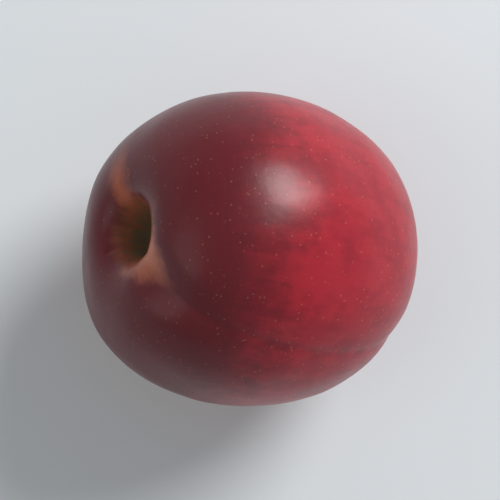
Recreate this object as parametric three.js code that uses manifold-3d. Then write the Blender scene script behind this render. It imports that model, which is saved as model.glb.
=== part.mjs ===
// A nectarine as picked: one whole fruit, lying on a cheek with its stem cavity turned up and to the side.
// Millimetres, +Z up. The origin is the middle of the small flat spot that the fruit rests on.
// The fruit is first shaped in its own frame: +Z to the stem, +X to the suture, +Y to the fuller cheek.
import * as THREE from "three";
import { NURBSCurve } from "three/addons/curves/NURBSCurve.js";
import { mergeVertices } from "three/addons/utils/BufferGeometryUtils.js";
import Module from "manifold-3d";

// Driving dimensions
const CHEEK_WIDTH = 51.2; // cheek to cheek
const SUTURE_WIDTH = 48.6; // from the suture to the back
const HEIGHT = 50.8; // from the higher shoulder to the point at the tip
const CAVITY_DEPTH = 7.6; // floor of the stem cavity below the shoulder
const FLOOR_RADIUS = 2.6; // of the cavity's floor, where the stem was
const CAVITY_GROWTH = [-0.06, -0.14]; // along the suture and across it, as shares: below 0 it narrows
const SUTURE_DENT = 0.3; // depth of the suture's groove
const NOTCH_DEPTH = 0.9; // suture's notch in the shoulder
const NOTCH_START = 0.4; // as a share of the half width
const NOTCH_ENDS = [0.5, 0.65, 0.8]; // where its steps fade out, as shares of the half width
const BACK_RISE = 0.6; // of the shoulder opposite the suture
const BACK_BULGE = 0.3; // of the same shoulder, away from the stem axis
const LOW_RISE = 0.25; // of the shoulder over the flatter cheek
const LOW_BULGE = 0.35; // of the same shoulder, away from the stem axis
const CHEEK_BULGE = 0.7; // of the fuller cheek
const TIP_LEAN = 1; // of the tip, to the suture's side
const POINT = 0.7; // small point at the tip
const FLAT_SPOT_DEPTH = 0.5; // how far the skin is pressed in where it rests

// How far the skin follows each of these
const CAVITY_REACH = 15;
const SUTURE_REACH = 5.2;
const NOTCH_REACH = 6;
const SHOULDER_REACH = 15;
const CHEEK_REACH = 26;
const TIP_REACH = 17;
const POINT_REACH = 5;

// Pose of the fruit on the surface, in degrees
const STEM_TILT = 54; // stem axis from upright
const STEM_AZIMUTH = 170; // way the stem axis leans, from +X towards +Y
const SUTURE_TURN = 147; // suture round the stem axis, before the tilt

// Fineness of the solid
const MERIDIANS = 72;
const STEPS_PER_SPAN = 3;

const HALF_WIDTH = 25; // of the round fruit, before its widths are set
const SHOULDER = 0.46 * HEIGHT; // shoulder above the widest girth
const TIP = 0.54 * HEIGHT; // tip below the widest girth
const FLOOR = SHOULDER - CAVITY_DEPTH;

// Half outline from the cavity's floor over the shoulder and the girth to the tip, as control points:
// distance from the stem axis, and height above the girth.
const OUTLINE = [
  [0, FLOOR],
  [0.5 * FLOOR_RADIUS, FLOOR],
  [1.1 * FLOOR_RADIUS, FLOOR + 0.03 * CAVITY_DEPTH],
  [1.4 * FLOOR_RADIUS, FLOOR + 0.22 * CAVITY_DEPTH],
  [1.65 * FLOOR_RADIUS, FLOOR + 0.52 * CAVITY_DEPTH],
  [2 * FLOOR_RADIUS, FLOOR + 0.79 * CAVITY_DEPTH],
  [2.6 * FLOOR_RADIUS, FLOOR + 0.96 * CAVITY_DEPTH],
  [3.4 * FLOOR_RADIUS, FLOOR + 1.02 * CAVITY_DEPTH],
  [0.45 * HALF_WIDTH, 0.995 * SHOULDER],
  [0.57 * HALF_WIDTH, 0.95 * SHOULDER],
  [0.7 * HALF_WIDTH, 0.865 * SHOULDER],
  [0.82 * HALF_WIDTH, 0.725 * SHOULDER],
  [0.925 * HALF_WIDTH, 0.515 * SHOULDER],
  [0.99 * HALF_WIDTH, 0.25 * SHOULDER],
  [1.01 * HALF_WIDTH, -0.03 * TIP],
  [0.98 * HALF_WIDTH, -0.27 * TIP],
  [0.91 * HALF_WIDTH, -0.5 * TIP],
  [0.795 * HALF_WIDTH, -0.7 * TIP],
  [0.625 * HALF_WIDTH, -0.86 * TIP],
  [0.41 * HALF_WIDTH, -0.96 * TIP],
  [0.18 * HALF_WIDTH, -0.995 * TIP],
  [0.06 * HALF_WIDTH, -TIP],
  [0, -TIP],
];

const degrees = THREE.MathUtils.degToRad;

// Share of a push that a point at that nearness gets: 1 on what is picked, 0 at the edge of its reach.
const falloff = (nearness) => nearness * nearness * (3 - 2 * nearness);

// Moves the picked points, and their neighbours within reach less and less.
function push(points, picked, reach, move) {
  const anchors = points.filter(picked).map((p) => p.clone());
  for (const point of points) {
    const distance = Math.min(...anchors.map((a) => a.distanceTo(point)));
    if (distance < reach) {
      point.addScaledVector(move(point), falloff(1 - distance / reach));
    }
  }
}

// Ways to move a point
const shift = (x, y, z) => () => new THREE.Vector3(x, y, z);
const swell = (share) => (p) => p.clone().multiplyScalar(share);
const stretch = ([x, y]) => (p) => new THREE.Vector3(p.x * x, p.y * y, 0);

// Places on the fruit to pick. What moves the stem axis or the suture's plane aside is pushed after them.
const fromAxis = (p) => Math.hypot(p.x, p.y);
const atFloor = (p) => p.z > 0 && fromAxis(p) < 0.01;
const atTip = (p) => p.z < 0 && fromAxis(p) < 0.01;
const onSuture = (p) => p.x > 0 && Math.abs(p.y) < 0.01;
const onShoulder = (side, inner, outer) => (p) =>
  Math.abs(p.y) < 0.01 && p.z > 0 && side * p.x > inner * HALF_WIDTH && side * p.x < outer * HALF_WIDTH;
const fullCheek = (p) => p.y > 0.96 * HALF_WIDTH && Math.abs(p.x) < 0.01;
const lowShoulder = (p) =>
  Math.abs(p.x) < 0.01 && p.y < -0.7 * HALF_WIDTH && p.y > -0.85 * HALF_WIDTH && p.z > 0;

// The outline turned round the stem axis
function roundFruit() {
  const degree = 3;
  const spans = OUTLINE.length - degree;
  const knots = [0, 0, 0];
  for (let k = 0; k <= spans; k++) {
    knots.push(k);
  }
  knots.push(spans, spans, spans);
  const controls = OUTLINE.map(([r, z]) => new THREE.Vector3(r, z, 0));
  const outline = new NURBSCurve(degree, knots, controls);
  // LatheGeometry turns about Y and wants its profile from the bottom up to face outwards.
  const profile = outline.getPoints(spans * STEPS_PER_SPAN).reverse();
  profile.at(0).x = 0;
  profile.at(-1).x = 0;
  const lathe = new THREE.LatheGeometry(profile, MERIDIANS);
  lathe.deleteAttribute("normal");
  lathe.deleteAttribute("uv");
  return mergeVertices(lathe.rotateX(Math.PI / 2), 1e-4);
}

// The round fruit given its suture, oval cavity, uneven shoulders, fuller cheek and leaning tip
function shapedFruit() {
  const fruit = roundFruit();
  const position = fruit.getAttribute("position");
  const points = [];
  for (let i = 0; i < position.count; i++) {
    points.push(new THREE.Vector3().fromBufferAttribute(position, i));
  }
  push(points, atFloor, CAVITY_REACH, stretch(CAVITY_GROWTH));
  push(points, atTip, POINT_REACH, shift(0, 0, -POINT));
  push(points, atTip, TIP_REACH, shift(TIP_LEAN, 0, 0));
  push(points, onSuture, SUTURE_REACH, swell(-SUTURE_DENT / HALF_WIDTH));
  for (const end of NOTCH_ENDS) {
    const step = NOTCH_DEPTH / NOTCH_ENDS.length;
    push(points, onShoulder(1, NOTCH_START, end), NOTCH_REACH, shift(0, 0, -step));
  }
  push(points, onShoulder(-1, 0.35, 0.6), SHOULDER_REACH, shift(-BACK_BULGE, 0, BACK_RISE));
  push(points, lowShoulder, SHOULDER_REACH, shift(0, -LOW_BULGE, LOW_RISE));
  push(points, fullCheek, CHEEK_REACH, shift(0, CHEEK_BULGE, 0));
  points.forEach((p, i) => position.setXYZ(i, p.x, p.y, p.z));
  fruit.computeBoundingBox();
  const size = fruit.boundingBox.getSize(new THREE.Vector3());
  return fruit.scale(SUTURE_WIDTH / size.x, CHEEK_WIDTH / size.y, HEIGHT / size.z);
}

const wasm = await Module();
wasm.setup();

function solidOf(geometry) {
  const bare = geometry.clone();
  bare.deleteAttribute("normal");
  bare.deleteAttribute("uv");
  const merged = mergeVertices(bare, 1e-4);
  return new wasm.Manifold(
    new wasm.Mesh({
      numProp: 3,
      vertProperties: merged.getAttribute("position").array,
      triVerts: new Uint32Array(merged.index.array),
    }),
  );
}

function geometryOf(solid) {
  const { vertProperties, triVerts } = solid.getMesh();
  return new THREE.BufferGeometry()
    .setAttribute("position", new THREE.BufferAttribute(vertProperties, 3))
    .setIndex(new THREE.BufferAttribute(triVerts, 1));
}

// The fruit laid in its pose and cut level where it rests, with the middle of that flat spot at the origin
function restingFruit() {
  const fruit = shapedFruit();
  fruit.rotateZ(degrees(SUTURE_TURN));
  fruit.rotateY(degrees(STEM_TILT));
  fruit.rotateZ(degrees(STEM_AZIMUTH));
  fruit.computeBoundingBox();
  fruit.translate(0, 0, -fruit.boundingBox.min.z - FLAT_SPOT_DEPTH);
  const side = 4 * HALF_WIDTH;
  const ground = new THREE.BoxGeometry(side, side, side).translate(0, 0, -side / 2);
  const rested = geometryOf(solidOf(fruit).subtract(solidOf(ground)));
  const spot = new THREE.Box3();
  const corner = new THREE.Vector3();
  const position = rested.getAttribute("position");
  for (let i = 0; i < position.count; i++) {
    corner.fromBufferAttribute(position, i);
    if (Math.abs(corner.z) < 1e-4) {
      spot.expandByPoint(corner);
    }
  }
  const middle = spot.getCenter(new THREE.Vector3());
  return rested.translate(-middle.x, -middle.y, 0);
}

const skin = new THREE.MeshStandardMaterial({ color: 0x8c2c36, roughness: 0.38, metalness: 0 });

const nectarine = new THREE.Mesh(restingFruit(), skin);
nectarine.name = "nectarine";

const fruit = new THREE.Group();
fruit.add(nectarine);
export default fruit;
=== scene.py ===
"""A nectarine, whole and ripe, lying on its cheek and seen from straight above in soft studio light.

The fruit is shaped in its own frame, with +Z to the stem, +X to the suture and +Y to the fuller cheek,
and is then laid down where the fixed frame holds it. Lengths are in metres.
"""

import logging
import math
import random
from collections.abc import Callable
from dataclasses import dataclass
from enum import Enum
from typing import Any

import bpy
from mathutils import Matrix, Vector


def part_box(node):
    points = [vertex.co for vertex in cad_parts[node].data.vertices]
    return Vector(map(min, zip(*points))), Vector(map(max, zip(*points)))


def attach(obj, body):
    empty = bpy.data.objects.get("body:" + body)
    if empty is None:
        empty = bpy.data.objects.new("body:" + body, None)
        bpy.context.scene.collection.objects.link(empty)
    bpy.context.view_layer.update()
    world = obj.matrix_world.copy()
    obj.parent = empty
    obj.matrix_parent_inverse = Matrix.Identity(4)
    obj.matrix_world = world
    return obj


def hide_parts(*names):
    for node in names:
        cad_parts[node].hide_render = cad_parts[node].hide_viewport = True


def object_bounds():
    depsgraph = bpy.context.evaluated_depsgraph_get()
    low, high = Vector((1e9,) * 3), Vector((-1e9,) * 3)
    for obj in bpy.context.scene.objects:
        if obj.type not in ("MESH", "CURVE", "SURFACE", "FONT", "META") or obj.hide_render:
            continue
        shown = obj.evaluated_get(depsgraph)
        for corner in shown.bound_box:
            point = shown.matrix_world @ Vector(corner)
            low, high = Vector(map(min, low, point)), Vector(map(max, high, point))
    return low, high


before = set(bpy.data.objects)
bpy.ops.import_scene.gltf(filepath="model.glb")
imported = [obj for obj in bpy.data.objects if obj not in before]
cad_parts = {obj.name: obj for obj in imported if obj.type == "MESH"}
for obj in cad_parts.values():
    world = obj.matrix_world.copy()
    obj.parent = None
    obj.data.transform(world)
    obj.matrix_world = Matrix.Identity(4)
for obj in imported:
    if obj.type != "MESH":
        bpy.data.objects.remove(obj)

CAD_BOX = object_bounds()
NODE = "nectarine"
MM = 0.001
ALMOST = 1e-6

Rule = Callable[[Vector], bool]
Colour = tuple[float, float, float, float]

log = logging.getLogger("nectarine")


class Side(Enum):
    """The two sides of the fruit that the suture's plane cuts."""

    SUTURE = 1
    BACK = -1


class Layer(Enum):
    """Which two colour inputs and which output a Mix node uses."""

    FIRST = 6
    SECOND = 7
    RESULT = 2


def paint(red: int, green: int, blue: int) -> Colour:
    """Turns a screen colour into the linear colour that a shader takes.

    Args:
        red: Red, from 0 to 255.
        green: Green, from 0 to 255.
        blue: Blue, from 0 to 255.

    Returns:
        The linear red, green and blue, with full opacity.
    """

    def linear(part: int) -> float:
        """One channel, made linear."""
        share = part / 255
        return share / 12.92 if share <= 0.04045 else ((share + 0.055) / 1.055) ** 2.4

    return linear(red), linear(green), linear(blue), 1.0


class Clay:
    """A mesh shaped as by hand: points are picked by their place, then an operator moves them."""

    def __init__(self, piece: bpy.types.Object) -> None:
        """Takes a mesh object in hand.

        Args:
            piece: The mesh object to shape.
        """
        self.piece = piece

    @classmethod
    def spun(cls, name: str, outline: list[tuple[float, float]], steps: int, turns: int) -> "Clay":
        """Draws half an outline as a smooth curve and spins it round Z into one closed skin.

        Args:
            name: The piece's name.
            outline: The curve's control points, as distance from the axis and height.
            steps: Points on the curve between two control points.
            turns: Copies of the outline in a full turn.

        Returns:
            The skin, ready to shape.
        """
        drawing = bpy.data.curves.new(name, "CURVE")
        drawing.dimensions = "3D"
        spline = drawing.splines.new("NURBS")
        spline.points.add(len(outline) - 1)
        for point, (out, up) in zip(spline.points, outline):
            point.co = (out, 0, up, 1)
        spline.order_u = 4
        spline.use_endpoint_u = True
        spline.resolution_u = steps
        piece = bpy.data.objects.new(name, drawing)
        bpy.context.scene.collection.objects.link(piece)
        clay = cls(piece)
        clay.take()
        bpy.ops.object.convert(target="MESH")
        clay.piece = bpy.context.object
        bpy.ops.object.mode_set(mode="EDIT")
        bpy.ops.mesh.select_all(action="SELECT")
        bpy.ops.mesh.spin(steps=turns, angle=math.tau, center=(0, 0, 0), axis=(0, 0, 1))
        bpy.ops.mesh.select_all(action="SELECT")
        bpy.ops.mesh.remove_doubles(threshold=0.01 * MM)
        bpy.ops.mesh.normals_make_consistent(inside=False)
        bpy.ops.object.mode_set(mode="OBJECT")
        return clay

    def take(self) -> None:
        """Makes this piece the only selected one, and the active one."""
        bpy.ops.object.select_all(action="DESELECT")
        self.piece.select_set(True)
        bpy.context.view_layer.objects.active = self.piece

    def pick(self, rule: Rule) -> None:
        """Goes into edit mode with the points that follow a rule selected.

        Args:
            rule: Says of a point's place whether it is picked.
        """
        self.take()
        bpy.ops.object.mode_set(mode="EDIT")
        bpy.ops.mesh.select_mode(type="VERT")
        bpy.ops.mesh.select_all(action="DESELECT")
        bpy.ops.object.mode_set(mode="OBJECT")
        for point in self.piece.data.vertices:
            point.select = rule(point.co)
        bpy.ops.object.mode_set(mode="EDIT")

    def shift(self, rule: Rule, reach: float, move: tuple[float, float, float]) -> None:
        """Moves the picked points, and their neighbours within reach less and less.

        Args:
            rule: Picks the points.
            reach: How far from them the skin follows.
            move: How far and which way they move.
        """
        self.pick(rule)
        bpy.ops.transform.translate(
            value=move,
            use_proportional_edit=True,
            proportional_edit_falloff="SMOOTH",
            proportional_size=reach,
        )
        bpy.ops.object.mode_set(mode="OBJECT")

    def swell(self, rule: Rule, reach: float, factors: tuple[float, float, float]) -> None:
        """Spreads the picked points from the middle, and their neighbours within reach less and less.

        Args:
            rule: Picks the points.
            reach: How far from them the skin follows.
            factors: The growth along X, Y and Z.
        """
        self.pick(rule)
        bpy.ops.transform.resize(
            value=factors,
            center_override=(0, 0, 0),
            use_proportional_edit=True,
            proportional_edit_falloff="SMOOTH",
            proportional_size=reach,
        )
        bpy.ops.object.mode_set(mode="OBJECT")

    def press(self, rule: Rule, height: float) -> None:
        """Presses the picked points flat.

        Args:
            rule: Picks the points.
            height: The height of the flat.
        """
        self.pick(rule)
        bpy.ops.transform.resize(value=(1, 1, 0), center_override=(0, 0, height))
        bpy.ops.object.mode_set(mode="OBJECT")

    def modify(self, kind: str, **settings: Any) -> None:
        """Adds a modifier and applies it.

        Args:
            kind: The modifier's type.
            **settings: Its settings.
        """
        self.take()
        modifier = self.piece.modifiers.new(kind.lower(), kind)
        for name, value in settings.items():
            setattr(modifier, name, value)
        bpy.ops.object.modifier_apply(modifier=modifier.name)

    def unevenness(self, patch: float, depth: float) -> None:
        """Raises and sinks the skin in soft random patches.

        Args:
            patch: About how wide a patch is.
            depth: From the deepest to the highest place.
        """
        pattern = bpy.data.textures.new("soft patches", "CLOUDS")
        pattern.noise_scale = patch
        pattern.noise_depth = 1
        self.modify("DISPLACE", texture=pattern, texture_coords="LOCAL", strength=depth, mid_level=0.5)

    def place(self, matrix: Matrix) -> None:
        """Moves or turns the whole mesh, and leaves its object at the origin.

        Args:
            matrix: The move, turn or growth.
        """
        self.take()
        self.piece.matrix_world = matrix
        bpy.ops.object.transform_apply(location=True, rotation=True, scale=True)

    def box(self) -> tuple[Vector, Vector]:
        """The box round the mesh.

        Returns:
            Its lowest and its highest corner.
        """
        places = [point.co for point in self.piece.data.vertices]
        low = Vector([min(place[axis] for place in places) for axis in range(3)])
        high = Vector([max(place[axis] for place in places) for axis in range(3)])
        return low, high


class Signal:
    """A number that changes over a surface. An expression on signals adds the Math nodes for it."""

    def __init__(self, board: "Board", socket: bpy.types.NodeSocket) -> None:
        """Wraps a socket.

        Args:
            board: The nodes that the socket is among.
            socket: The output that gives the number.
        """
        self.board = board
        self.socket = socket

    def _math(self, operation: str, *terms: "Signal | float") -> "Signal":
        """Adds one Math node.

        Args:
            operation: What the node does.
            *terms: Its inputs, in order.

        Returns:
            The node's result.
        """
        node = self.board.node("ShaderNodeMath", {"operation": operation}, dict(enumerate(terms)))
        return Signal(self.board, node.outputs[0])

    def __add__(self, other: "Signal | float") -> "Signal":
        """Self plus other."""
        return self._math("ADD", self, other)

    def __radd__(self, other: float) -> "Signal":
        """Other plus self."""
        return self._math("ADD", other, self)

    def __sub__(self, other: "Signal | float") -> "Signal":
        """Self minus other."""
        return self._math("SUBTRACT", self, other)

    def __rsub__(self, other: float) -> "Signal":
        """Other minus self."""
        return self._math("SUBTRACT", other, self)

    def __mul__(self, other: "Signal | float") -> "Signal":
        """Self times other."""
        return self._math("MULTIPLY", self, other)

    def __rmul__(self, other: float) -> "Signal":
        """Other times self."""
        return self._math("MULTIPLY", other, self)

    def __truediv__(self, other: "Signal | float") -> "Signal":
        """Self divided by other."""
        return self._math("DIVIDE", self, other)

    def __rtruediv__(self, other: float) -> "Signal":
        """Other divided by self."""
        return self._math("DIVIDE", other, self)

    def __pow__(self, other: float) -> "Signal":
        """Self to a power."""
        return self._math("POWER", self, other)

    def __abs__(self) -> "Signal":
        """Self without its sign."""
        return self._math("ABSOLUTE", self)

    def over(self, other: "Signal | float") -> "Signal":
        """The larger of self and other."""
        return self._math("MAXIMUM", self, other)

    def rise(self, low: float, high: float) -> "Signal":
        """Smoothly from 0 where self is low to 1 where it is high.

        Args:
            low: The value that gives 0. It may be the larger of the two.
            high: The value that gives 1.

        Returns:
            The smooth step.
        """
        limits = {"From Min": min(low, high), "From Max": max(low, high)}
        ends = {"To Min": 0.0, "To Max": 1.0} if low < high else {"To Min": 1.0, "To Max": 0.0}
        settings = {"interpolation_type": "SMOOTHSTEP"}
        node = self.board.node("ShaderNodeMapRange", settings, {"Value": self, **limits, **ends})
        return Signal(self.board, node.outputs["Result"])


class Board:
    """The nodes of a material or of the world, added one at a time."""

    def __init__(self, owner: bpy.types.Material | bpy.types.World, shader: str = "Principled BSDF") -> None:
        """Starts with the owner's own shader.

        Args:
            owner: The material or the world.
            shader: The name of its shader node.
        """
        owner.use_nodes = True
        self.owner = owner
        self.tree = owner.node_tree
        self.shader = self.tree.nodes[shader]

    def plug(self, socket: bpy.types.NodeSocket, value: Any) -> None:
        """Gives an input its link or its fixed value.

        Args:
            socket: The input.
            value: A signal, an output socket, or a number, vector or colour.
        """
        if isinstance(value, Signal):
            value = value.socket
        if isinstance(value, bpy.types.NodeSocket):
            self.tree.links.new(value, socket)
        else:
            socket.default_value = value

    def node(self, kind: str, settings: dict[str, Any], inputs: dict[Any, Any]) -> bpy.types.Node:
        """Adds a node.

        Args:
            kind: The node's type.
            settings: Its settings, which are set first.
            inputs: Its inputs, by name or number.

        Returns:
            The node.
        """
        made = self.tree.nodes.new(kind)
        for name, value in settings.items():
            setattr(made, name, value)
        for key, value in inputs.items():
            self.plug(made.inputs[key], value)
        return made

    def mix(self, mask: Signal | float, under: Any, over: Any) -> bpy.types.NodeSocket:
        """Lays one colour over another.

        Args:
            mask: How much of the second colour shows.
            under: The first colour.
            over: The second colour.

        Returns:
            The mixed colour.
        """
        colours = {0: mask, Layer.FIRST.value: under, Layer.SECOND.value: over}
        made = self.node("ShaderNodeMix", {"data_type": "RGBA"}, colours)
        return made.outputs[Layer.RESULT.value]

    def noise(self, place: Any, scale: float, detail: float, roughness: float = 0.5) -> Signal:
        """Soft random patches, about 0.5 on the whole.

        Args:
            place: Where on the surface, as a vector.
            scale: Patches in one unit of place.
            detail: How many finer layers there are.
            roughness: How strong the finer layers are.

        Returns:
            The noise.
        """
        inputs = {"Vector": place, "Scale": scale, "Detail": detail, "Roughness": roughness}
        return Signal(self, self.node("ShaderNodeTexNoise", {}, inputs).outputs[0])

    def dots(self, place: Any, scale: float, size: float) -> Signal:
        """Scattered round dots.

        Args:
            place: Where on the surface, as a vector.
            scale: Cells in one unit of place, with one dot's centre in each.
            size: A dot's radius, as a share of its cell.

        Returns:
            1 in the dots and 0 between them.
        """
        node = self.node("ShaderNodeTexVoronoi", {}, {"Vector": place, "Scale": scale})
        return Signal(self, node.outputs["Distance"]).rise(size, 0.5 * size)

    def parts(self, vector: Any) -> tuple[Signal, Signal, Signal]:
        """The three numbers of a vector."""
        node = self.node("ShaderNodeSeparateXYZ", {}, {0: vector})
        return tuple(Signal(self, output) for output in node.outputs)

    def vector(self, x: Signal, y: Signal, z: Signal) -> bpy.types.NodeSocket:
        """A vector made of three numbers."""
        return self.node("ShaderNodeCombineXYZ", {}, {0: x, 1: y, 2: z}).outputs[0]


@dataclass(frozen=True)
class Pose:
    """How the fruit lies on the surface, as three turns in radians."""

    stem_tilt: float = math.radians(54)
    stem_azimuth: float = math.radians(170)
    suture_turn: float = math.radians(147)

    def turn(self) -> Matrix:
        """The turn from the fruit's own frame to the frame that it lies in."""
        lean = Matrix.Rotation(self.stem_azimuth, 4, "Z") @ Matrix.Rotation(self.stem_tilt, 4, "Y")
        return lean @ Matrix.Rotation(self.suture_turn, 4, "Z")

    def seen(self, x: float, y: float, z: float) -> Vector:
        """A way that is given as the fruit lies, in the fruit's own frame.

        Args:
            x: Its part to the right, seen from above.
            y: Its part to the back.
            z: Its part upwards.

        Returns:
            The way, one unit long.
        """
        return self.turn().to_3x3().transposed() @ Vector((x, y, z)).normalized()


@dataclass(frozen=True)
class Spot:
    """A place on the skin in the fruit's own frame, in units of its half width.

    Here off_axis is its distance from the stem axis, and upper is 1 near the stem and 0 below the girth.
    """

    board: Board
    place: bpy.types.NodeSocket
    pose: Pose
    x: Signal
    y: Signal
    z: Signal
    off_axis: Signal
    upper: Signal

    @classmethod
    def on(cls, board: Board, pose: Pose, middle: Vector, unit: float) -> "Spot":
        """Reads the place from the object's coordinates.

        Args:
            board: The material's nodes.
            pose: How the fruit lies.
            middle: Where its own frame's origin lies.
            unit: The length of one unit.

        Returns:
            The place.
        """
        objects = board.node("ShaderNodeTexCoord", {}, {}).outputs["Object"]
        back = pose.turn().to_3x3().transposed()
        inputs = {
            "Vector": objects,
            "Location": -(back @ middle) / unit,
            "Rotation": back.to_euler("XYZ"),
            "Scale": (1 / unit,) * 3,
        }
        place = board.node("ShaderNodeMapping", {"vector_type": "POINT"}, inputs).outputs[0]
        x, y, z = board.parts(place)
        return cls(board, place, pose, x, y, z, (x * x + y * y) ** 0.5, z.rise(0.1, 0.4))

    def towards(self, right: float, back: float, up: float) -> Signal:
        """How far the place is towards one side of the fruit as it lies.

        Args:
            right: The side's part to the right, seen from above.
            back: Its part to the back.
            up: Its part upwards.

        Returns:
            1 on that side, 0 half way round and -1 on the far side.
        """
        own = self.pose.seen(right, back, up)
        return own.x * self.x + own.y * self.y + own.z * self.z

    def patches(self, scale: float, detail: float, roughness: float = 0.5) -> Signal:
        """Soft random patches at the place.

        Args:
            scale: Patches in one unit.
            detail: How many finer layers there are.
            roughness: How strong the finer layers are.

        Returns:
            The patches, about 0 on the whole.
        """
        return self.board.noise(self.place, scale, detail, roughness) - 0.5

    def streaks(self, crowding: float, along: float) -> Signal:
        """Streaks that run from the stem to the tip.

        Args:
            crowding: Streaks in one radian round the stem axis.
            along: Streaks in one unit along it.

        Returns:
            The streaks, about 0 on the whole.
        """
        spread = crowding / self.off_axis.over(0.05)
        place = self.board.vector(self.x * spread, self.y * spread, self.z * along)
        strength = self.off_axis.rise(0.03, 0.4).over(self.z.rise(0, 0.3))
        return strength * (self.board.noise(place, 1, 3, 0.55) - 0.5)


@dataclass(frozen=True)
class Variety:
    """What varies at random over the skin. Each part is about 0 on the whole."""

    broad: Signal
    soft: Signal
    sheen: Signal
    fray: Signal
    mottle: Signal
    specks: Signal
    grain: Signal
    coarse_streaks: Signal
    fine_streaks: Signal

    @classmethod
    def over(cls, spot: Spot) -> "Variety":
        """Draws the variation at a place.

        Args:
            spot: The place on the skin.

        Returns:
            The variation.
        """
        return cls(
            broad=spot.patches(1.3, 2),
            soft=spot.patches(3.2, 3),
            sheen=spot.patches(4, 4, 0.6),
            fray=spot.patches(7, 4, 0.6),
            mottle=spot.patches(10, 4, 0.6),
            specks=spot.patches(30, 4, 0.65),
            grain=spot.patches(64, 3, 0.6),
            coarse_streaks=spot.streaks(8, 1.5),
            fine_streaks=spot.streaks(26, 5),
        )


@dataclass(frozen=True)
class WaxySkin:
    """The fruit's finish: a red blush over a yellow ground, pale dots, and a corky stem cavity. Its maroon
    left side is partly painted shade.

    Sizes on the skin are in units of the fruit's half width. An edge is where a mark starts to show
    and where it shows in full. Dots are given as cells in one unit and their radius as a share of a cell.
    """

    unit: float
    middle: Vector
    pose: Pose
    yellow: Colour = paint(204, 152, 74)
    orange: Colour = paint(190, 96, 56)
    flame: Colour = paint(186, 62, 46)
    tan: Colour = paint(202, 120, 90)
    crimson: Colour = paint(166, 34, 48)
    cherry: Colour = paint(138, 24, 40)
    # The blush's darkest red, also the colour of the painted shade on the left side.
    maroon: Colour = paint(98, 24, 32)
    dot: Colour = paint(212, 146, 108)
    cork: Colour = paint(158, 88, 54)
    moss: Colour = paint(108, 98, 72)
    roughness: float = 0.34
    relief: float = 0.05 * MM
    sunny_way: tuple[float, float, float] = (0.35, 0.2, 0.9)
    # The side that turns maroon: partly the blush's darker red, partly painted shade.
    maroon_and_shade_way: tuple[float, float, float] = (-0.9, 0.1, 0.36)
    glow_place: tuple[float, float] = (-0.48, 0.04)
    dot_strength: float = 0.34
    large_dots: tuple[float, float] = (21, 0.16)
    small_dots: tuple[float, float] = (36, 0.13)
    cavity_edge: tuple[float, float] = (0.25, 0.15)
    scar_edge: tuple[float, float] = (0.13, 0.085)
    tip_edge: tuple[float, float] = (0.03, 0.008)
    line_width: float = 0.055
    wedge_start: float = 0.17
    wedge_length: float = 0.4
    wedge_width: float = 0.2
    strip_start: float = 0.16
    strip_length: float = 0.4
    strip_width: float = 0.1
    strip_lean: float = 0.5

    def material(self) -> bpy.types.Material:
        """Builds the skin's material.

        Returns:
            The material.
        """
        board = Board(bpy.data.materials.new("waxy nectarine skin"))
        spot = Spot.on(board, self.pose, self.middle, self.unit)
        vary = Variety.over(spot)
        pit = (spot.off_axis + 0.08 * vary.coarse_streaks).rise(*self.cavity_edge) * spot.upper
        dots = self._dots(spot) * (1 - pit)
        colour = self._blushed(spot, vary)
        colour = self._paled(spot, vary, colour)
        colour = board.mix(self.dot_strength * dots, colour, self.dot)
        colour = self._corked(spot, vary, pit, colour)
        for name, value in (
            ("Base Color", colour),
            ("Roughness", self.roughness + 0.14 * vary.sheen + 0.1 * vary.grain + 0.35 * pit),
            ("Normal", self._relief(spot, vary, pit, dots)),
            ("Specular IOR Level", 0.32),
            ("Coat Weight", 0.08 * (1 - pit)),
            ("Coat Roughness", 0.26),
            ("Subsurface Weight", 0.12),
            ("Subsurface Radius", (1.0, 0.3, 0.15)),
            ("Subsurface Scale", 1.2 * MM),
        ):
            board.plug(board.shader.inputs[name], value)
        return board.owner

    def _dots(self, spot: Spot) -> Signal:
        """The pale dots, large and small, which show more towards the tip.

        Args:
            spot: The place on the skin.

        Returns:
            1 in a large dot near the tip.
        """
        large = spot.board.dots(spot.place, *self.large_dots)
        small = spot.board.dots(spot.place, *self.small_dots)
        return large.over(0.7 * small) * (0.5 + 0.5 * spot.z.rise(0.7, -0.8))

    def _blushed(self, spot: Spot, vary: Variety) -> bpy.types.NodeSocket:
        """The skin's main colours. The blush's edge breaks up into specks over the ground.

        Args:
            spot: The place on the skin.
            vary: The variation there.

        Returns:
            The colour.
        """
        board = spot.board
        sun = spot.towards(*self.sunny_way) + 0.6 * vary.broad + 0.25 * vary.coarse_streaks
        cover = sun.rise(-1.0, -0.4)
        ground = board.mix(spot.patches(2.2, 3).rise(-0.12, 0.16), self.yellow, self.orange)
        ground = board.mix(cover.rise(0.05, 0.6), ground, self.flame)
        specks = (cover + 0.3 * vary.fine_streaks + 1.1 * vary.grain).rise(0.42, 0.72)
        return board.mix(specks, ground, self._red(spot, vary))

    def _red(self, spot: Spot, vary: Variety) -> bpy.types.NodeSocket:
        """The blush's reds, from crimson to maroon, with a darker line along the suture. The maroon towards
        the left side as the fruit lies is partly the blush's own darker red and partly painted shade.

        Args:
            spot: The place on the skin.
            vary: The variation there.

        Returns:
            The colour.
        """
        board = spot.board
        streaks = 0.24 * vary.coarse_streaks + 0.14 * vary.fine_streaks
        cloudy = streaks + 0.37 * vary.mottle + 0.25 * vary.soft
        red = board.mix(0.7 * cloudy.rise(-0.07, 0.1), self.crimson, self.cherry)
        glow_x, glow_y = self.glow_place
        glow = ((spot.x - glow_x) ** 2 + (spot.y - glow_y) ** 2).rise(0.11, 0.0) * spot.z.rise(0.3, 0.6)
        fray = 0.32 * vary.soft + 0.9 * streaks + 0.22 * vary.mottle
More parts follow.
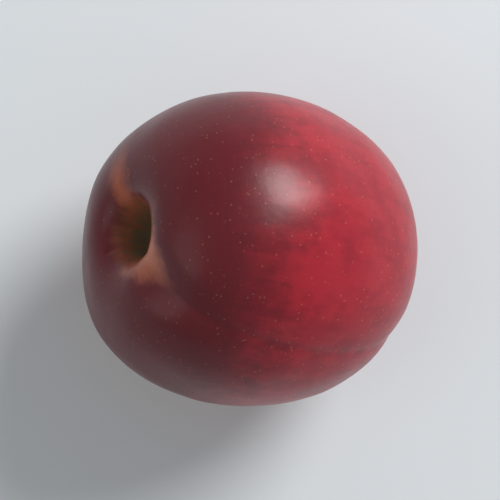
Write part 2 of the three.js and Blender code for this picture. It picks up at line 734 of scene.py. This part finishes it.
        # Maroon towards the left side, kept off one spot on the shoulder opposite the suture: partly the
        # blush's own darker red, partly painted shade.
        maroon_and_painted_shade = (spot.towards(*self.maroon_and_shade_way) - 0.5 * glow + fray).rise(-0.16, 0.44)
        red = board.mix(maroon_and_painted_shade, red, self.maroon)
        line = abs(spot.y + 0.03 * vary.soft + 0.02 * vary.mottle).rise(self.line_width, 0.0)
        line = line * spot.x.rise(0.15, 0.4) * (vary.soft + 0.8 * vary.mottle).rise(-0.2, 0.2)
        return board.mix(0.55 * line, red, self.maroon)

    def _paled(self, spot: Spot, vary: Variety, skin: Any) -> bpy.types.NodeSocket:
        """Lays paler skin on two sides of the stem cavity: a tan wedge on the suture, an orange strip behind.

        Args:
            spot: The place on the skin.
            vary: The variation there, which frays their edges.
            skin: The skin's colour.

        Returns:
            The colour.
        """
        fray = 1.5 * vary.fray + 0.5 * vary.fine_streaks
        ahead = (spot.x - self.wedge_start) / self.wedge_length
        behind = (-self.strip_start - spot.x) / self.strip_length
        narrowing = (self.wedge_width * (1 - ahead)).over(0.03)
        wedge = (abs(spot.y - 0.02) / narrowing + fray).rise(1.7, 0.1)
        wedge = wedge * ahead.rise(1.1, 0.2) * ahead.rise(-0.3, 0.1)
        strip = (abs(spot.y + self.strip_lean * spot.x) / self.strip_width + fray).rise(1.5, 0.1)
        strip = strip * behind.rise(1.0, 0.2) * behind.rise(-0.3, 0.1)
        colour = spot.board.mix(0.75 * strip * spot.upper, skin, self.orange)
        return spot.board.mix(0.92 * wedge * spot.upper, colour, self.tan)

    def _corked(self, spot: Spot, vary: Variety, pit: Signal, skin: Any) -> bpy.types.NodeSocket:
        """Lays cork and mossy grey in the cavity, on the stem's scar and on the tip's dry speck.

        Args:
            spot: The place on the skin.
            vary: The variation there.
            pit: 1 in the cavity.
            skin: The skin's colour.

        Returns:
            The colour.
        """
        board = spot.board
        deep = 0.27 * spot.off_axis.rise(0.2, 0.1)
        wall = (0.6 * vary.fine_streaks + 0.4 * vary.specks + deep).rise(-0.04, 0.22)
        floor = board.mix(vary.specks.rise(-0.25, 0.25), self.moss, self.cork)
        scar = (spot.off_axis + 0.05 * vary.specks).rise(*self.scar_edge) * pit
        off_tip = ((spot.x - 0.04) ** 2 + spot.y ** 2) ** 0.5
        tip = (off_tip + 0.05 * vary.grain).rise(*self.tip_edge) * spot.z.rise(-0.5, -0.8)
        colour = board.mix(0.88 * pit, skin, board.mix(wall, self.cork, self.moss))
        colour = board.mix(0.8 * scar, colour, floor)
        return board.mix(0.8 * tip, colour, self.cork)

    def _relief(self, spot: Spot, vary: Variety, pit: Signal, dots: Signal) -> bpy.types.NodeSocket:
        """The skin's finest relief: grain, shallow dimples, raised dots and a rough cavity.

        Args:
            spot: The place on the skin.
            vary: The variation there.
            pit: 1 in the cavity.
            dots: 1 in the pale dots.

        Returns:
            The normal.
        """
        rough = 1.2 * pit * spot.patches(46, 5, 0.7)
        height = 0.3 * vary.grain + 0.9 * spot.patches(17, 2) + 0.35 * dots + rough
        inputs = {"Strength": 0.45, "Distance": self.relief, "Height": height}
        return spot.board.node("ShaderNodeBump", {}, inputs).outputs[0]


@dataclass(frozen=True)
class Scar:
    """Where the stem came off, in the middle of the cavity's floor."""

    radius: float = 1.9 * MM
    edge_width: float = 0.28 * MM
    edge_height: float = 0.3 * MM
    hollow_place: tuple[float, float] = (0.3 * MM, -0.2 * MM)
    hollow_depth: float = 0.5 * MM
    hollow_reach: float = 1.1 * MM
    lumps: int = 12
    lump_height: float = 0.16 * MM
    lump_reach: float = 0.55 * MM

    def shape(self, fruit: Clay, draw: random.Random) -> None:
        """Works a raised edge, a hollow middle and a few lumps into the floor.

        Args:
            fruit: The fruit in its own frame.
            draw: Gives the random numbers.
        """
        fruit.shift(
            lambda p: p.z > 0 and abs(p.xy.length - self.radius) < self.edge_width / 2,
            2.5 * self.edge_width,
            (0, 0, self.edge_height),
        )
        self._dab(fruit, Vector(self.hollow_place), self.hollow_reach, -self.hollow_depth)
        for _ in range(self.lumps):
            angle = draw.uniform(0, math.tau)
            spot = Vector((math.cos(angle), math.sin(angle))) * draw.uniform(0.5, 1) * self.radius
            self._dab(fruit, spot, self.lump_reach, draw.uniform(-1, 1) * self.lump_height)

    def _dab(self, fruit: Clay, spot: Vector, reach: float, height: float) -> None:
        """Raises or sinks one spot of the floor.

        Args:
            fruit: The fruit in its own frame.
            spot: The spot's middle.
            reach: How far the skin follows.
            height: How far up it moves.
        """
        fruit.shift(lambda p: p.z > 0 and (p.xy - spot).length < reach / 4, reach, (0, 0, height))


@dataclass(frozen=True)
class Folds:
    """Shallow folds that run up the cavity's wall."""

    count: int = 13
    inner: float = 2.6 * MM
    shortest: float = 4.2 * MM
    longest: float = 6.0 * MM
    shallowest: float = 0.07 * MM
    deepest: float = 0.19 * MM
    narrowest: float = 0.8 * MM
    widest: float = 1.3 * MM
    line: float = 0.12 * MM
    straying: float = 0.3

    def shape(self, fruit: Clay, draw: random.Random) -> None:
        """Works the folds in, spread a little unevenly round the stem axis.

        Args:
            fruit: The fruit in its own frame.
            draw: Gives the random numbers.
        """
        for number in range(self.count):
            angle = math.tau * (number + draw.uniform(-self.straying, self.straying)) / self.count
            out = Vector((math.cos(angle), math.sin(angle)))
            across = Vector((-out.y, out.x))
            outer = draw.uniform(self.shortest, self.longest)
            deep = draw.uniform(self.shallowest, self.deepest)
            fruit.shift(
                lambda p: p.z > 0 and abs(p.xy @ across) < self.line and self.inner < p.xy @ out < outer,
                draw.uniform(self.narrowest, self.widest),
                (deep * out.x, deep * out.y, -deep),
            )


@dataclass
class Nectarine:
    """The whole fruit, one piece.

    A start, an end or a place on the skin is a distance from the stem axis, as a share of the half
    width. A reach is how far the skin follows a push.
    """

    cheek_width: float = 51.2 * MM
    suture_width: float = 48.6 * MM
    height: float = 50.8 * MM
    half_width: float = 25 * MM
    cavity_depth: float = 7.6 * MM
    cavity_growth: tuple[float, float, float] = (0.94, 0.86, 1)
    cavity_reach: float = 15 * MM
    floor_radius: float = 2.6 * MM
    suture_dent: float = 0.3 * MM
    suture_reach: float = 5.2 * MM
    notch_depth: float = 0.9 * MM
    notch_start: float = 0.4
    notch_ends: tuple[float, ...] = (0.5, 0.65, 0.8)
    notch_reach: float = 6 * MM
    back_push: tuple[float, float, float] = (-0.3 * MM, 0, 0.6 * MM)
    back_place: tuple[float, float] = (0.35, 0.6)
    low_push: tuple[float, float, float] = (0, -0.35 * MM, 0.25 * MM)
    low_place: tuple[float, float] = (0.7, 0.85)
    shoulder_reach: float = 15 * MM
    cheek_bulge: float = 0.7 * MM
    cheek_place: float = 0.96
    cheek_reach: float = 26 * MM
    tip_lean: float = 1 * MM
    tip_reach: float = 17 * MM
    point: float = 0.7 * MM
    point_reach: float = 5 * MM
    crease_depth: float = 0.12 * MM
    crease_start: float = 0.2
    crease_reach: float = 1.5 * MM
    patches: tuple[tuple[float, float], ...] = ((13 * MM, 0.5 * MM), (3.5 * MM, 0.05 * MM))
    meridians: int = 72
    steps: int = 3
    seed: int = 7
    scar: Scar = Scar()
    folds: Folds = Folds()
    pose: Pose = Pose()

    def __post_init__(self) -> None:
        """Works out the heights from the driving sizes."""
        self.shoulder = 0.46 * self.height
        self.tip = 0.54 * self.height
        self.floor = self.shoulder - self.cavity_depth

    def outline(self) -> list[tuple[float, float]]:
        """Half the outline, from the cavity's floor over the shoulder and the girth to the tip.

        Returns:
            Control points, as distance from the stem axis and height above the girth.
        """
        cavity = [(0, 0), (0.5, 0), (1.1, 0.03), (1.4, 0.22), (1.65, 0.52), (2, 0.79)]
        mouth = [(2.6, 0.96), (3.4, 1.02)]
        shoulder = [(0.45, 0.995), (0.57, 0.95), (0.7, 0.865), (0.82, 0.725), (0.925, 0.515), (0.99, 0.25)]
        lower = [(1.01, 0.03), (0.98, 0.27), (0.91, 0.5), (0.795, 0.7), (0.625, 0.86), (0.41, 0.96)]
        end = [(0.18, 0.995), (0.06, 1), (0, 1)]
        deep = self.cavity_depth
        points = [(out * self.floor_radius, self.floor + up * deep) for out, up in cavity + mouth]
        points += [(out * self.half_width, up * self.shoulder) for out, up in shoulder]
        points += [(out * self.half_width, -down * self.tip) for out, down in lower + end]
        return points

    def at_floor(self, place: Vector) -> bool:
        """Whether a place is the middle of the cavity's floor."""
        return place.z > 0 and place.xy.length < ALMOST

    def at_tip(self, place: Vector) -> bool:
        """Whether a place is the tip."""
        return place.z < 0 and place.xy.length < ALMOST

    def on_suture(self, place: Vector) -> bool:
        """Whether a place is on the suture."""
        return place.x > 0 and abs(place.y) < ALMOST

    def on_crease(self, place: Vector) -> bool:
        """Whether a place is on the suture's crease."""
        return place.x > self.crease_start * self.half_width and abs(place.y) < ALMOST

    def on_full_cheek(self, place: Vector) -> bool:
        """Whether a place is on the fuller cheek."""
        return place.y > self.cheek_place * self.half_width and abs(place.x) < ALMOST

    def on_middle(self, side: Side, inner: float, outer: float) -> Rule:
        """Picks the upper skin in the suture's plane, between two distances from the stem axis.

        Args:
            side: The suture's side or the back.
            inner: The smaller distance, as a share of the half width.
            outer: The larger distance.

        Returns:
            The rule.
        """
        low = inner * self.half_width
        high = outer * self.half_width
        return lambda p: abs(p.y) < ALMOST and p.z > 0 and low < side.value * p.x < high

    def on_low_shoulder(self, place: Vector) -> bool:
        """Whether a place is on the shoulder over the flatter cheek."""
        inner, outer = self.low_place
        return abs(place.x) < ALMOST and place.z > 0 and inner < -place.y / self.half_width < outer

    def shape(self) -> Clay:
        """Spins the outline and gives it its cavity, tip, suture, shoulders and cheek.

        Returns:
            The fruit in its own frame.
        """
        fruit = Clay.spun("nectarine_fruit", self.outline(), self.steps, self.meridians)
        fruit.swell(self.at_floor, self.cavity_reach, self.cavity_growth)
        fruit.shift(self.at_tip, self.point_reach, (0, 0, -self.point))
        fruit.shift(self.at_tip, self.tip_reach, (self.tip_lean, 0, 0))
        fruit.swell(self.on_suture, self.suture_reach, self.shrinking(self.suture_dent))
        step = self.notch_depth / len(self.notch_ends)
        for end in self.notch_ends:
            notch = self.on_middle(Side.SUTURE, self.notch_start, end)
            fruit.shift(notch, self.notch_reach, (0, 0, -step))
        fruit.shift(self.on_middle(Side.BACK, *self.back_place), self.shoulder_reach, self.back_push)
        fruit.shift(self.on_low_shoulder, self.shoulder_reach, self.low_push)
        fruit.shift(self.on_full_cheek, self.cheek_reach, (0, self.cheek_bulge, 0))
        low, high = fruit.box()
        size = high - low
        sizes = Vector((self.suture_width / size.x, self.cheek_width / size.y, self.height / size.z))
        fruit.place(Matrix.Diagonal(sizes).to_4x4())
        return fruit

    def shrinking(self, depth: float) -> tuple[float, float, float]:
        """The growth that sinks the skin at the girth by a depth."""
        return (1 - depth / self.half_width,) * 3

    def refine(self, fruit: Clay) -> None:
        """Makes the skin smooth, and works the finer relief into it at each step.

        Args:
            fruit: The fruit in its own frame.
        """
        draw = random.Random(self.seed)
        fruit.modify("SUBSURF", levels=1, render_levels=1)
        self.scar.shape(fruit, draw)
        self.folds.shape(fruit, draw)
        fruit.modify("SUBSURF", levels=1, render_levels=1)
        fruit.swell(self.on_crease, self.crease_reach, self.shrinking(self.crease_depth))
        for width, depth in self.patches:
            fruit.unevenness(width, depth)

    def lay(self, fruit: Clay) -> Vector:
        """Turns the fruit into its pose, moves it to where the frame holds it, and presses its flat spot.

        Args:
            fruit: The fruit in its own frame.

        Returns:
            Where the origin of its own frame now lies.
        """
        fruit.place(self.pose.turn())
        held_low, held_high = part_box(NODE)
        low, high = fruit.box()
        move = (held_low + held_high - low - high) / 2
        move.z = held_high.z - high.z
        fruit.place(Matrix.Translation(move))
        fruit.press(lambda p: p.z < 0, 0)
        return move

    def build(self) -> bpy.types.Object:
        """Makes the fruit, lays it in place and gives it its skin.

        Returns:
            The finished piece.
        """
        fruit = self.shape()
        self.refine(fruit)
        middle = self.lay(fruit)
        fruit.take()
        bpy.ops.object.shade_smooth()
        skin = WaxySkin(self.half_width, middle, self.pose)
        fruit.piece.data.materials.append(skin.material())
        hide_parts(NODE)
        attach(fruit.piece, "root")
        log.info("%s: %d faces", fruit.piece.name, len(fruit.piece.data.polygons))
        return fruit.piece


@dataclass(frozen=True)
class Lamp:
    """One soft round light that faces the fruit. Its way is the side it hangs on: right, back and up."""

    name: str
    way: tuple[float, float, float]
    far: float
    width: float
    watts: float

    def hang(self, middle: Vector) -> None:
        """Hangs the light.

        Args:
            middle: The middle of the fruit.
        """
        light = bpy.data.lights.new(self.name, "AREA")
        light.energy = self.watts
        light.shape = "DISK"
        light.size = self.width
        lamp = bpy.data.objects.new(self.name, light)
        bpy.context.scene.collection.objects.link(lamp)
        towards = Vector(self.way).normalized()
        lamp.location = middle + self.far * towards
        lamp.rotation_euler = towards.to_track_quat("Z", "Y").to_euler()


@dataclass
class Studio:
    """The floor, the lights and the camera."""

    floor_width: float = 6.0
    view_width: float = 80 * MM
    lens: float = 120.0
    sensor: float = 36.0
    ground: Colour = paint(224, 229, 232)
    wall: Colour = paint(190, 193, 196)
    ceiling: Colour = paint(152, 154, 156)
    lamps: tuple[Lamp, ...] = (
        Lamp("key", (0.66, 0.66, 0.72), far=0.8, width=0.4, watts=5.7),
        Lamp("fill", (-0.8, -0.1, 0.6), far=0.9, width=0.6, watts=0.7),
    )

    def camera(self, middle: Vector) -> None:
        """Sets the camera straight above, looking down, with the fruit's back at the top.

        Args:
            middle: The middle of the fruit.
        """
        lens = bpy.data.cameras.new("camera")
        lens.lens = self.lens
        lens.sensor_width = self.sensor
        camera = bpy.data.objects.new("camera", lens)
        bpy.context.scene.collection.objects.link(camera)
        far = self.view_width * self.lens / self.sensor
        camera.location = middle + Vector((0, 0, far))
        lens.clip_start = 0.1 * far
        bpy.context.scene.camera = camera

    def floor(self) -> None:
        """Lays the plain pale floor."""
        bpy.ops.mesh.primitive_plane_add(size=self.floor_width, location=(0, 0, 0))
        floor = bpy.context.object
        floor.name = "floor"
        board = Board(bpy.data.materials.new("pale matt floor"))
        board.plug(board.shader.inputs["Base Color"], self.ground)
        board.plug(board.shader.inputs["Roughness"], 0.9)
        floor.data.materials.append(board.owner)

    def sky(self) -> None:
        """Fills the room with even light, a little brighter near the horizon, where its pale walls are."""
        world = bpy.data.worlds.new("pale room")
        bpy.context.scene.world = world
        board = Board(world, "Background")
        way = board.node("ShaderNodeTexCoord", {}, {}).outputs["Generated"]
        up = board.parts(way)[2]
        board.plug(board.shader.inputs["Color"], board.mix(up.rise(0.1, 0.4), self.wall, self.ceiling))

    def build(self) -> None:
        """Sets up camera, floor and lights."""
        middle = (CAD_BOX[0] + CAD_BOX[1]) / 2
        self.camera(middle)
        self.floor()
        bpy.context.scene.view_settings.view_transform = "Standard"
        self.sky()
        for lamp in self.lamps:
            lamp.hang(middle)


def main() -> None:
    """Builds the studio and the fruit, and reports each piece."""
    Studio().build()
    log.info("studio: camera, floor and lights")
    Nectarine().build()


if __name__ == "__main__":
    logging.basicConfig(level=logging.INFO, format="%(name)s %(message)s")
    main()
